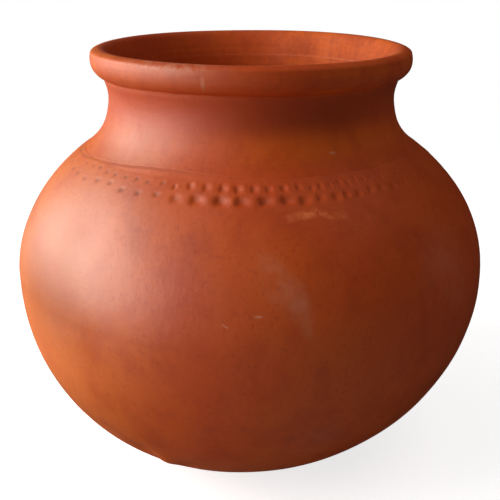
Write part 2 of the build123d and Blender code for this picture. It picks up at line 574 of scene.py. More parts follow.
@dataclass(frozen=True)
class Handwork:
    """What the potter's hands and tools did to the turned form."""

    form: JarForm
    outside: Outline
    inside: Outline
    clearance: float = 0.05 * MM
    facet_depth: float = 0.2 * MM
    inner_facet_depth: float = 0.5 * MM
    lean: float = 5.8 * MM
    lean_power: float = 2.2
    rim_dip: float = 0.15 * MM
    rim_tilt: float = 0.4 * MM
    rim_sag: float = 0.8 * MM
    rim_sag_turn: float = math.radians(56)
    rim_sag_spread: float = math.radians(30)
    rim_wander: float = 0.25 * MM
    groove_lift: float = 1.5 * MM
    groove_wander: float = 0.5 * MM
    corner_reach: float = 1.2 * MM
    ledge_cut: float = 0.25 * MM
    ledge_half: float = 0.7 * MM
    ledge_reach: float = 9.0 * MM
    # Painted shade along the ledge's crease.
    ledge_crease_shade: float = 0.3
    wiped_top_drop: float = 4 * MM
    slope_span: float = 0.2 * MM
    near_upright: float = 0.98
    least_wall: float = 0.001 * MM
    facets: Wander = Wander(3, 26, 11, 95.0)
    inner_facets: Wander = Wander(5, 26, 17, 160.0)
    groove_waves: Wander = Wander(8, 5, 4, 0.0)
    dip_waves: Wander = Wander(13, 6, 4, 0.0)
    rim_waves: Wander = Wander(14, 6, 5, 0.0)
    grip_radius: float = 30 * MM
    groove_reach: float = 6 * MM
    rim_start: float = -1 * MM
    rim_end: float = 9 * MM
    lean_span: float = 100 * MM
    lip_edge: float = 0.8 * MM
    lip_edge_height: float = 3.9 * MM
    lip_edge_spread: float = 1.1 * MM
    lower_row: RowOfMarks = RowOfMarks(
        drop=6.9 * MM, width=9.0 * MM, tall=6.4 * MM, depth=1.2 * MM,
        count=62, start=math.radians(-1.8), lean=0.1, seed=11,
    )
    upper_row: RowOfMarks = RowOfMarks(
        drop=2.6 * MM, width=4.8 * MM, tall=5.4 * MM, depth=0.75 * MM,
        count=82, start=math.radians(-3.4), lean=-0.15, seed=23,
    )
    knocks: tuple[Knock, ...] = (
        Knock(-24, 31, 4.5, 4.5, 1.6),
        Knock(-31, 37, 4, 4, -1.6),
        Knock(-17.5, 27, 3.5, 3.5, -0.9),
        Knock(34, 60, 13, 13, -0.35),
        Knock(118, 84, 16, 16, -0.5),
        Knock(-142, 66, 14, 14, -0.45),
    )
    bulges: tuple[Knock, ...] = (
        Knock(90, 203, 90, 20, 1.3),
        Knock(85, 166, 70, 20, 0.9),
        Knock(88, 32, 70, 16, 1.6),
        Knock(-90, 55, 85, 32, 1.0),
    )
    ledge_wiped: Table = (
        (-180, 0.45), (-125, 0.15), (-95, 0.0), (-34, 0.0), (-8, 0.9), (50, 1.0), (100, 0.7),
        (145, 0.3), (180, 0.45),
    )
    ledge_slides: Table = (
        (-180, 0.0), (-120, -1.0), (-90, -3.0), (-70, -2.0), (-58, -0.4), (-51, 0.0), (-45, 0.6),
        (-39, 1.3), (-33, 2.0), (-24, 2.2), (10, 0.0), (180, 0.0),
    )

    def wiped_step(self, height: np.ndarray) -> np.ndarray:
        """Work out how far the ledge stands out from the curve that wiping leaves.

        Args:
            height: Heights of points on the outside.

        Returns:
            How far the turned outside stands out past the wiped curve there.
        """
        low = self.form.collar_seat[1] - self.corner_reach
        high = self.form.waist[1] - self.wiped_top_drop
        span, small = high - low, self.slope_span
        share = np.clip((height - low) / span, 0, 1)
        start_slope = (self.outside.radius(low) - self.outside.radius(low - small)) / small
        end_slope = (self.outside.radius(high + small) - self.outside.radius(high)) / small
        square, cube = share**2, share**3
        wiped = (2 * cube - 3 * square + 1) * self.outside.radius(low)
        wiped += (cube - 2 * square + share) * span * start_slope
        wiped += (3 * square - 2 * cube) * self.outside.radius(high)
        wiped += (cube - square) * span * end_slope
        step = self.outside.radius(height) - wiped
        return np.where((height > low) & (height < high), np.maximum(step, 0), 0)

    def press_rows(
        self, turn: np.ndarray, height: np.ndarray, radius: np.ndarray
    ) -> tuple[np.ndarray, np.ndarray]:
        """Press both rows of marks.

        Args:
            turn: Turns of the points.
            height: Heights of the points, slid along with the ledge.
            radius: Radius of the points.

        Returns:
            How far each point moves out, and how much dirt and painted shade it gets in a mark, from 0 to 1.
        """
        out, pressed = np.zeros_like(radius), np.zeros_like(radius)
        for row in (self.lower_row, self.upper_row):
            place = self.outside.place(self.form.collar_seat[1] - row.drop)
            move, depth = row.relief(turn, self.outside.place(height) - place, radius)
            out += move
            pressed = np.maximum(pressed, depth)
        return out, pressed

    def level_work(
        self, turn: np.ndarray, height: np.ndarray, radius: np.ndarray, from_cut: np.ndarray
    ) -> tuple[np.ndarray, np.ndarray]:
        """Work out what moves level: the bulges, the ledge's cut and the lip's edge.

        Args:
            turn: Turns of the points.
            height: Heights of the points.
            radius: Radius of the points.
            from_cut: Lengths of the points along the outside, up from the ledge's cut.

        Returns:
            How far each point moves out, and how much painted shade the ledge's crease gets there.
        """
        out = sum(bulge(turn, height, radius) for bulge in self.bulges)
        out = np.minimum(out, np.maximum(self.form.belly_radius - radius, 0))
        clear = 1 - by_turn(turn, self.ledge_wiped)
        set_back = smooth_step(from_cut, -self.ledge_half, self.ledge_half)
        set_back = set_back * np.exp(-np.maximum(from_cut, 0) / self.ledge_reach)
        out -= self.ledge_cut * clear * set_back
        from_edge = height - self.form.lip_centre[1] - self.lip_edge_height
        out += self.lip_edge * hump(from_edge / self.lip_edge_spread)
        # Painted shade along the ledge's crease, full where the ledge stays cut.
        return out, self.ledge_crease_shade * clear * hump(from_cut / self.ledge_half)

    def facet_cut(
        self, turn: np.ndarray, height: np.ndarray, radius: np.ndarray, skin: np.ndarray
    ) -> np.ndarray:
        """Work out how far the soft facets left by the hand cut into the clay.

        Args:
            turn: Turns of the points.
            height: Heights of the points.
            radius: Radius of the points.
            skin: How far each point lies from the inside, 0, towards the outside, 1.

        Returns:
            How far each point moves in.
        """
        outer = self.facet_depth * (1 + self.facets(turn, height)) * skin
        inner = self.inner_facet_depth * (1 + self.inner_facets(turn, height)) * (1 - skin) / 2
        grip = smooth_step(radius, 0.0, self.grip_radius)
        return grip * (self.clearance + outer + inner)

    def rim_drift(
        self, turn: np.ndarray, height: np.ndarray, skin: np.ndarray
    ) -> tuple[np.ndarray, np.ndarray]:
        """Work out how far the groove and the rim stray from round and level.

        Args:
            turn: Turns of the points.
            height: Heights of the points.
            skin: How far each point lies from the inside, 0, towards the outside, 1.

        Returns:
            How far each point moves out, and how far up.
        """
        groove = self.form.groove[1]
        front = 0.5 + 0.5 * np.cos(turn)
        lift = self.groove_lift * front + self.groove_wander * self.groove_waves(turn)
        up = skin * lift * np.exp(-(((height - groove) / self.groove_reach) ** 2))
        rim = smooth_step(height, groove + self.rim_start, groove + self.rim_end)
        sag = self.rim_sag * np.exp(-(((turn - self.rim_sag_turn) / self.rim_sag_spread) ** 2))
        dip = self.rim_dip * (1 + self.dip_waves(turn))
        up -= rim * (self.clearance + dip + self.rim_tilt * front + sag)
        return rim * self.rim_wander * self.rim_waves(turn), up

    def shape(self, points: np.ndarray) -> tuple[np.ndarray, np.ndarray, np.ndarray]:
        """Move a member's points by all that was done by hand.

        Args:
            points: Places of the turned member's points.

        Returns:
            The new places, how much dirt and painted shade each point gets in a pressed mark or the
            ledge's crease, from 0 to 1, and how far it lies from the inside, 0, towards the outside, 1.
        """
        radius = np.hypot(points[:, 0], points[:, 1])
        turn = np.arctan2(points[:, 0], -points[:, 1])
        height = points[:, 2].copy()
        outer, inner = self.outside.radius(height), self.inside.radius(height)
        skin = np.clip((radius - inner) / np.maximum(outer - inner, self.least_wall), 0, 1)
        depth_share = height / self.form.floor_thickness
        skin = np.where(depth_share < 1, 1 - depth_share, skin)

        from_cut = self.outside.place(height) - self.outside.place(self.form.collar_seat[1])
        slides = by_turn(turn, self.ledge_slides) * MM
        slid = height + skin * slides * np.exp(-((from_cut / self.ledge_reach) ** 2))
        wiped = self.outside.radius(slid) - self.wiped_step(slid) - outer
        out, pressed = self.press_rows(turn, slid, radius + wiped)
        out += sum(knock(turn, height, radius) for knock in self.knocks)
        upright, level = self.outside.normal(height)
        out = np.where(upright > self.near_upright, np.minimum(out, 0), out)
        level_out, crease_shade = self.level_work(turn, height, radius, from_cut)
        # Painted shade in the ledge's crease joins the marks' dirt and shade.
        pressed = np.maximum(pressed, crease_shade)
        rim_out, rim_up = self.rim_drift(turn, height, skin)

        new_radius = radius + skin * (out * upright + level_out + wiped) + rim_out
        new_radius -= self.facet_cut(turn, height, radius, skin)
        new_height = slid + skin * out * level + rim_up
        below = np.clip(self.form.belly_height - height, 0, None)
        lean = -self.lean * (below / self.lean_span) ** self.lean_power
        x, y = new_radius * np.sin(turn) + lean, -new_radius * np.cos(turn)
        placed = np.column_stack((x, y, np.maximum(new_height, 0)))
        return placed, pressed * skin, skin


def maths(operation: str, flipped: bool = False) -> "Callable[..., Signal]":
    """Make a method that adds a Math node on a signal and the values that follow it.

    Args:
        operation: The node's operation.
        flipped: Whether the values go in last first.

    Returns:
        The method.
    """

    def method(self: "Signal", *others: "Signal | float") -> "Signal":
        """Add the Math node.

        Args:
            others: Signals or numbers that follow the signal.

        Returns:
            The node's signal.
        """
        values = (self, *others)[::-1] if flipped else (self, *others)
        node = self.graph.add("ShaderNodeMath", {"operation": operation}, dict(enumerate(values)))
        return Signal(self.graph, node.outputs[0])

    return method


class Signal:
    """A number that changes over a surface: the output of a shader node.

    Python's operators on signals and numbers add the Math nodes.
    """

    __add__ = __radd__ = maths("ADD")
    __mul__ = __rmul__ = maths("MULTIPLY")
    __sub__ = maths("SUBTRACT")
    __rsub__ = maths("SUBTRACT", flipped=True)
    __truediv__ = maths("DIVIDE")
    __pow__ = maths("POWER")
    __abs__ = maths("ABSOLUTE")
    most = maths("MAXIMUM")
    least = maths("MINIMUM")

    def __init__(self, graph: "ShaderGraph", socket: bpy.types.NodeSocket) -> None:
        """Keep the graph that the socket belongs to."""
        self.graph = graph
        self.socket = socket

    def ease(self, start: float, full: float) -> "Signal":
        """Ease the signal from 0 to 1, upwards or downwards.

        Args:
            start: Where it starts to show.
            full: Where it is full, higher or lower than the start.

        Returns:
            The eased signal.
        """
        values = {"Value": self, "From Min": start, "From Max": full}
        node = self.graph.add("ShaderNodeMapRange", {"interpolation_type": "SMOOTHSTEP"}, values)
        return Signal(self.graph, node.outputs[0])


class ShaderGraph:
    """Shader nodes of one finish, in the jar's own coordinates."""

    def __init__(self, tree: bpy.types.NodeTree) -> None:
        """Empty the tree."""
        self.tree = tree
        self.tree.nodes.clear()

    @property
    def place(self) -> bpy.types.NodeSocket:
        """Place on the jar."""
        return self.add("ShaderNodeTexCoord").outputs["Object"]

    def add(self, kind: str, settings: dict | None = None, values: dict | None = None) -> bpy.types.Node:
        """Add a node.

        Args:
            kind: The node's type.
            settings: The node's own settings, which are set first.
            values: Numbers, colours, sockets or signals for its inputs, by name or index.

        Returns:
            The new node.
        """
        node = self.tree.nodes.new(kind)
        for key, setting in (settings or {}).items():
            setattr(node, key, setting)
        for key, value in (values or {}).items():
            socket = node.inputs[key]
            source = value.socket if isinstance(value, Signal) else value
            if isinstance(source, bpy.types.NodeSocket):
                self.tree.links.new(source, socket)
            else:
                socket.default_value = source
        return node

    def mix(self, factor: Signal | float, under: Tint, over: Tint) -> bpy.types.NodeSocket:
        """Lay one colour over another.

        Args:
            factor: How much of the upper colour shows.
            under: The lower colour.
            over: The upper colour.

        Returns:
            The mixed colour's socket.
        """
        values = {0: factor, 6: under, 7: over}
        return self.add("ShaderNodeMix", {"data_type": "RGBA"}, values).outputs[2]

    def noise(
        self,
        scale: float,
        detail: float = 2.0,
        stretch: Triple = (1, 1, 1),
        tilt: Triple = (0, 0, 0),
        rough: float = 0.5,
    ) -> Signal:
        """Add noise over the jar.

        Args:
            scale: Waves for each metre.
            detail: How many finer layers the noise has.
            stretch: How much closer together the waves are along each axis.
            tilt: How the noise is turned about each axis, in radians.
            rough: How strong the finer layers are.

        Returns:
            A signal from 0 to 1.
        """
        placing = {"Vector": self.place, "Rotation": tilt, "Scale": stretch}
        turned = self.add("ShaderNodeMapping", {}, placing).outputs[0]
        values = {"Vector": turned, "Scale": scale, "Detail": detail, "Roughness": rough}
        return Signal(self, self.add("ShaderNodeTexNoise", {}, values).outputs[0])

    def along(self, direction: Triple, origin: Triple = (0, 0, 0)) -> Signal:
        """Measure how far a point lies along a direction.

        Args:
            direction: The direction, of length 1.
            origin: The place to measure from.

        Returns:
            The distance, in metres.
        """
        apart = self.add("ShaderNodeVectorMath", {"operation": "SUBTRACT"}, {0: self.place, 1: origin})
        values = {0: apart.outputs[0], 1: direction}
        product = self.add("ShaderNodeVectorMath", {"operation": "DOT_PRODUCT"}, values)
        return Signal(self, product.outputs["Value"])

    def local(self, outline: Outline, spot: Spot) -> tuple[Signal, Signal, Signal]:
        """Measure from a spot on the jar's outside.

        Args:
            outline: The jar's outside.
            spot: The spot's turn from the front, in degrees, and its height in millimetres.

        Returns:
            How far a point lies to the spot's right and above it, in millimetres, and 1 or 0
            for whether it is on the spot's own side of the wall.
        """
        angle, height = math.radians(spot[0]), spot[1] * MM
        radius = float(outline.radius(height))
        origin = (radius * math.sin(angle), -radius * math.cos(angle), height)
        side = self.along((math.cos(angle), math.sin(angle), 0), origin) / MM
        own_side = self.along((math.sin(angle), -math.cos(angle), 0), origin)
        rise = self.along(UP, origin) / MM
        return side, rise, own_side.ease(-OWN_SIDE_DEPTH, -OWN_SIDE_DEPTH + OWN_SIDE_EASE)


@dataclass(frozen=True)
class Patch:
    """Soft oval on the outside: its turn in degrees, height and half sizes in millimetres."""

    turn: float
    height: float
    across: float
    tall: float
    share: float = 1.0

    edge = (1.0, 0.1)

    def mask(self, graph: ShaderGraph, outline: Outline) -> Signal:
        """Mark where the patch shows.

        Args:
            graph: The finish's nodes.
            outline: The jar's outside.

        Returns:
            A signal that goes from 0 outside the patch to its share at its middle.
        """
        side, rise, own_side = graph.local(outline, (self.turn, self.height))
        away = ((side / self.across) ** 2 + (rise / self.tall) ** 2) ** 0.5
        return away.ease(*self.edge) * own_side * self.share


@dataclass(frozen=True)
class Stroke:
    """Thin stroke on the outside, from its left to its right end.

    Its ends are turns in degrees with heights in millimetres, and its bow is how far its
    middle stands above the straight line.
    """

    start: Spot
    end: Spot
    thick: float
    bow: float = 0.0
    share: float = 1.0

    side_edge = 0.15
    end_edge = (1.1, 0.6)

    def mask(self, graph: ShaderGraph, outline: Outline) -> Signal:
        """Mark where the stroke shows.

        Args:
            graph: The finish's nodes.
            outline: The jar's outside.

        Returns:
            A signal that is the stroke's share on it and 0 off it.
        """
        turn, height = ((first + last) / 2 for first, last in zip(self.start, self.end))
        side, rise, own_side = graph.local(outline, (turn, height))
        half = math.radians(self.end[0] - self.start[0]) / 2 * float(outline.radius(height * MM)) / MM
        slope = (self.end[1] - self.start[1]) / (2 * half)
        off = abs(rise - side * slope + (side / half) ** 2 * self.bow - self.bow)
        ends = abs(side).ease(*(half * edge for edge in self.end_edge))
        middle = off.ease(self.thick, self.side_edge * self.thick)
        return middle * ends * own_side * self.share


@dataclass(frozen=True)
class Grain:
    """Noise over the jar, eased from a level where it starts to show to one where it is full."""

    scale: float
    detail: float
    start: float | None = None
    full: float | None = None
    stretch: Triple = (1, 1, 1)
    tilt: Triple = (0, 0, 0)
    rough: float = 0.5

    def mask(self, graph: ShaderGraph, outline: Outline | None = None) -> Signal:
        """Add the noise, which is left uneased where it has no levels.

        Args:
            graph: The finish's nodes.
            outline: Not used, because noise has no place of its own.

        Returns:
            A signal from 0 to 1.
        """
        noise = graph.noise(self.scale, self.detail, self.stretch, self.tilt, self.rough)
        return noise if self.start is None else noise.ease(self.start, self.full)


@dataclass(frozen=True)
class Slope:
    """Colour that comes in along a direction, between two distances in millimetres."""

    way: Triple
    start: float
    full: float

    def mask(self, graph: ShaderGraph, outline: Outline) -> Signal:
        """Mark how far the colour has come in.

        Args:
            graph: The finish's nodes.
            outline: Not used, because a slope goes through the whole jar.

        Returns:
            A signal from 0 to 1.
        """
        return graph.along(self.way).ease(self.start * MM, self.full * MM)


@dataclass(frozen=True)
class Overlap:
    """What several shapes have in common."""

    shapes: tuple[Patch | Stroke | Grain | Slope, ...]
    share: float = 1.0

    def mask(self, graph: ShaderGraph, outline: Outline) -> Signal:
        """Mark where all the shapes show.

        Args:
            graph: The finish's nodes.
            outline: The jar's outside.

        Returns:
            A signal from 0 to the share.
        """
        masks = (shape.mask(graph, outline) for shape in self.shapes)
        return functools.reduce(operator.mul, masks) * self.share


@dataclass(frozen=True)
class Layer:
    """Colour laid over the clay where any of its shapes shows, broken up by its grain."""

    colour: Colour
    share: float
    grain: Grain | None = None
    shapes: tuple[Patch | Stroke | Slope | Overlap, ...] = ()
    side: Side = Side.BOTH

    def lay(self, graph: ShaderGraph, outline: Outline, body: Tint, outer: Signal) -> bpy.types.NodeSocket:
        """Lay the colour over the clay's.

        Args:
            graph: The finish's nodes.
            outline: The jar's outside.
            body: The clay's colour so far.
            outer: Signal that is 1 on the outside and 0 on the inside.

        Returns:
            The new colour's socket.
        """
        masks = [self.grain.mask(graph)] if self.grain else []
        if self.shapes:
            shapes = (shape.mask(graph, outline) for shape in self.shapes)
            masks.append(functools.reduce(Signal.most, shapes))
        if self.side is not Side.BOTH:
            masks.append(outer if self.side is Side.OUTSIDE else 1 - outer)
        return graph.mix(functools.reduce(operator.mul, masks, self.share), body, self.colour)


@dataclass(frozen=True)
class ClayFinish:
    """Fired terracotta, unglazed. Its layers run from the broadest change to the finest speck."""

    name: str
    outline: Outline
    clay: Colour = (0.560, 0.066, 0.0050, 1.0)
    warm: Colour = (0.610, 0.088, 0.0070, 1.0)
    deep: Colour = (0.440, 0.044, 0.0035, 1.0)
    # Painted light: paler, yellower clay for the lit left side.
    painted_lit_side: Colour = (0.660, 0.155, 0.0090, 1.0)
    # Painted light: paler clay low at the left and at the foot.
    painted_low_light: Colour = (0.900, 0.220, 0.0500, 1.0)
    # Painted light: a warm glow inside at the right and on the collar's front.
    painted_glow: Colour = (0.780, 0.130, 0.0060, 1.0)
    # Painted shade: darker clay over the lit patches where the highlight falls.
    shade_over_highlight: Colour = (0.360, 0.074, 0.0080, 1.0)
    # Pale bloom, which on the left of the neck also stands for a painted highlight.
    bloom_and_highlight: Colour = (0.70, 0.34, 0.21, 1.0)
    dust: Colour = (0.86, 0.200, 0.055, 1.0)
    # Dark specks, and painted shade in the marks, the ledge's crease, inside at the left and under the rim.
    soot_and_shade: Colour = (0.16, 0.030, 0.006, 1.0)
    pressed_share: float = 0.85
    roughness: float = 0.5
    roughness_ends: Spot = (0.3, 0.9)
    pressed_roughness: float = 0.2
    inner_roughness: float = 0.25
    gloss: float = 0.36
    polish: float = 0.3
    polish_grain: Grain = Grain(34, 4, stretch=(1, 1, 0.5), tilt=(0.3, 0.2, 0.0))
    fine_grain: Grain = Grain(900, 3, rough=0.6)
    grain_height: float = 0.045 * MM
    relief: tuple[tuple[Grain, float], ...] = (
        (Grain(330, 2, 0.36, 0.24), -0.024 * MM),
        (Grain(230, 3, stretch=(1, 1, 0.8), rough=0.55), 0.12 * MM),
    )
    layers: tuple[Layer, ...] = (
        Layer(warm, 1.0, Grain(11, 3, 0.36, 0.66, rough=0.55)),
        # Painted light: the outside turns paler and yellower towards the lit left.
        Layer(painted_lit_side, 1.0, shapes=(Slope(RIGHT, -15, -125),), side=Side.OUTSIDE),
        # Painted shade inside towards the left, where the rim shades it, and painted light inside towards
        # the right.
        Layer(deep, 0.7, shapes=(Slope(RIGHT, 0, -70),), side=Side.INSIDE),
        Layer(soot_and_shade, 0.32, shapes=(Slope(RIGHT, 20, -60),), side=Side.INSIDE),
        Layer(painted_glow, 1.0, shapes=(Slope(RIGHT, -30, 50),), side=Side.INSIDE),
        Layer(deep, 0.5, Grain(27, 3, 0.5, 0.78, (1, 1, 1.6))),
        Layer(deep, 0.5, Grain(75, 4, 0.42, 0.75, (1, 1, 0.55), (0.35, 0.2, 0.0))),
        Layer(warm, 0.4, Grain(240, 3, 0.48, 0.75)),
        Layer(deep, 0.4, Grain(420, 2, 0.55, 0.7)),
        Layer(bloom_and_highlight, 0.12, Grain(900, 2, 0.66, 0.78)),
        Layer(soot_and_shade, 0.2, Grain(900, 2, 0.34, 0.24)),
    )
    wear_and_painted_light: tuple[Layer, ...] = ()

    def colour(self, graph: ShaderGraph, pressed: Signal, outer: Signal) -> bpy.types.NodeSocket:
        """Lay the clay's own colours, the dirt and painted shade in what was pressed, and the wear and
        painted light.

        Args:
            graph: The finish's nodes.
            pressed: How much dirt and painted shade a point gets in a mark or the ledge's crease.
            outer: Signal that is 1 on the outside and 0 on the inside.

        Returns:
            The colour's socket.
        """
        body = self.clay
        for layer in self.layers:
            body = layer.lay(graph, self.outline, body, outer)
        # Dirt and painted shade in the marks and the ledge's crease.
        body = graph.mix(pressed * self.pressed_share, body, self.soot_and_shade)
        for layer in self.wear_and_painted_light:
            body = layer.lay(graph, self.outline, body, outer)
        return body

    def height(self, graph: ShaderGraph) -> Signal:
        """Add up the fine relief.

        Args:
            graph: The finish's nodes.

        Returns:
            Its height, in metres.
        """
        fine = self.fine_grain.mask(graph) * self.grain_height
        return sum((grain.mask(graph) * height for grain, height in self.relief), fine)

    def make(self) -> bpy.types.Material:
        """Build the material.

        Returns:
            The material.
        """
        material = bpy.data.materials.new(self.name)
        material.use_nodes = True
        graph = ShaderGraph(material.node_tree)
        # The pressed attribute carries dirt and painted shade in the marks and the ledge's crease.
        pressed, outer = (
            Signal(graph, graph.add("ShaderNodeAttribute", {"attribute_name": name}).outputs["Fac"])
            for name in ("pressed", "outer")
        )
        rough = self.roughness + (self.polish_grain.mask(graph) - 0.5) * self.polish
        rough += pressed * self.pressed_roughness + (1 - outer) * self.inner_roughness
        least, most = self.roughness_ends
        bump = {"Strength": 1.0, "Distance": 1.0, "Height": self.height(graph)}
        looks = {
            "Base Color": self.colour(graph, pressed, outer),
            "Roughness": rough.most(least).least(most),
            "IOR": 1.5,
            "Specular IOR Level": self.gloss,
            "Normal": graph.add("ShaderNodeBump", {}, bump).outputs[0],
        }
        shader = graph.add("ShaderNodeBsdfPrincipled", {}, looks)
        graph.add("ShaderNodeOutputMaterial", {}, {"Surface": shader.outputs[0]})
        return material


@dataclass(frozen=True)
class BurnishedClay(ClayFinish):
    """The body's clay, rubbed to a soft sheen.

    Over it lie painted light low at the left and at the foot, painted shade over the lit patch
    where the highlight falls, haze, a darker band and a spot, smears of dust, and scratches.
    """

    wear_and_painted_light: tuple[Layer, ...] = (
        # Painted light: paler clay low at the left and at the foot, where the lamps reach little.
        Layer(
            ClayFinish.painted_low_light,
            0.6,
            shapes=(
                Patch(-62, 88, 72, 56),
                Overlap((Slope(UP, 52, 14), Slope(RIGHT, 50, 5)), 0.7),
            ),
        ),
        # Painted shade over the lit patch on the body's left, where the highlight falls.
        Layer(ClayFinish.shade_over_highlight, 0.8, shapes=(Patch(-50, 140, 62, 62),)),
        Layer(
            ClayFinish.bloom_and_highlight,
            0.32,
            Grain(60, 4, 0.25, 0.7, rough=0.6),
            (
                Stroke((1.5, 153), (13, 127), 15),
                Patch(50, 134, 30, 30, 0.45),
                Patch(17, 58, 20, 18, 0.4),
                Patch(150, 128, 60, 34, 0.5),
            ),
        ),
        Layer(
            ClayFinish.deep,
            0.5,
            shapes=(
                Overlap((Patch(-6, 70, 24, 5), Grain(60, 4, 0.35, 0.6, rough=0.6))),
                Patch(1, 116, 7, 6, 0.5),
            ),
        ),
        Layer(
            ClayFinish.dust,
            0.75,
            Grain(250, 3, 0.3, 0.6, (1, 1, 1.5), rough=0.6),
            (
                Stroke((8.4, 167.4), (15.4, 168.7), 2.2, 0.4, 0.6),
                Stroke((12.6, 168.2), (17.8, 169.5), 2.3),
                Stroke((16.4, 169.5), (20.2, 167.5), 1.8, share=0.8),
                Stroke((18.6, 167.5), (25.2, 167), 1.9, share=0.6),
                Stroke((-77, 151), (-62, 152), 1.3, share=0.6),
            ),
        ),
        Layer(
            ClayFinish.bloom_and_highlight,
            0.45,
            shapes=(Stroke((-5.6, 127.2), (-4.2, 125.4), 0.6, -0.3), Patch(1.6, 130.3, 3.2, 0.9)),
        ),
    )


@dataclass(frozen=True)
class WipedClay(ClayFinish):
    """The neck's and the rim's clay, wiped level with a wet cloth on the wheel.

    Over it lie the cloth's level lines, painted shade over the lit patch at the left, painted shade
    under the rim, a painted glow on the collar's front, chalky haze that at the left of the neck also
    stands for a painted highlight, more painted shade under the rim at the front, dark blotches, and
    pale pits, a streak and a nick on the rim and neck.
    """

    roughness: float = 0.56
    gloss: float = 0.25
    relief: tuple[tuple[Grain, float], ...] = (
        (Grain(260, 3, rough=0.55), 0.096 * MM),
        (Grain(30, 4, stretch=(1, 1, 22), rough=0.65), 0.048 * MM),
        (Grain(420, 2, 0.36, 0.22), -0.04 * MM),
    )
    wear_and_painted_light: tuple[Layer, ...] = (
        Layer(ClayFinish.deep, 0.22, Grain(22, 4, 0.4, 0.7, (1, 1, 16), rough=0.6)),
        Layer(ClayFinish.warm, 0.2, Grain(22, 4, 0.45, 0.28, (1, 1, 16), rough=0.6)),
        # Painted shade over the lit patch on the neck's left, where the highlight falls.
        Layer(ClayFinish.shade_over_highlight, 0.5, shapes=(Patch(-52, 186, 46, 24),)),
        # Painted shade: a darker band on the neck under the rim, which shades it.
        Layer(
            ClayFinish.deep,
            0.55,
            shapes=(Overlap((Slope(UP, 188, 204), Slope(UP, 219, 214))),),
            side=Side.OUTSIDE,
        ),
        # Painted light: a brighter, warmer band on the collar's front.
        Layer(ClayFinish.painted_glow, 0.6, shapes=(Patch(25, 194, 84, 12),)),
        # Pale haze, partly real and partly a painted highlight on the left of the neck, where the highlight
        # falls.
        Layer(
            ClayFinish.bloom_and_highlight,
            0.26,
            Grain(120, 4, 0.2, 0.6, (1, 1, 0.4), rough=0.65),
            (Patch(-46, 194, 44, 15), Patch(-42, 185, 34, 9), Patch(140, 198, 50, 14, 0.5)),
        ),
        # Painted shade under the rim at the front.
        Layer(ClayFinish.soot_and_shade, 0.24, shapes=(Patch(16, 207, 62, 14),)),
        Layer(ClayFinish.deep, 0.4, Grain(120, 4, 0.45, 0.7, (1, 1, 0.4), rough=0.65)),
        Layer(ClayFinish.bloom_and_highlight, 0.1, shapes=(Patch(-30, 226, 56, 9),)),
        Layer(
            ClayFinish.bloom_and_highlight,
            0.42,
            shapes=(
                Overlap((Patch(-26, 230.5, 36, 4), Grain(260, 3, 0.36, 0.66, rough=0.7))),
                Patch(-14.5, 224, 1.6, 5, 0.8),
                Patch(28.6, 190, 3, 1.0),
            ),
        ),
    )


@dataclass
class Seat:
    """Joint between two members, with the heights of its slip at both skins."""

    below: str
    slip: str
    above: str

    def heights(self, top: bool) -> tuple[float, float]:
        """Read the heights of the slip's lower or upper face from the frame.

        Args:
            top: True for the face that the upper member sits on.

        Returns:
            The face's height at the outside and at the inside.
        """
        if top:
            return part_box(self.above)[0].z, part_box(self.slip)[1].z
        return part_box(self.slip)[0].z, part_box(self.below)[1].z


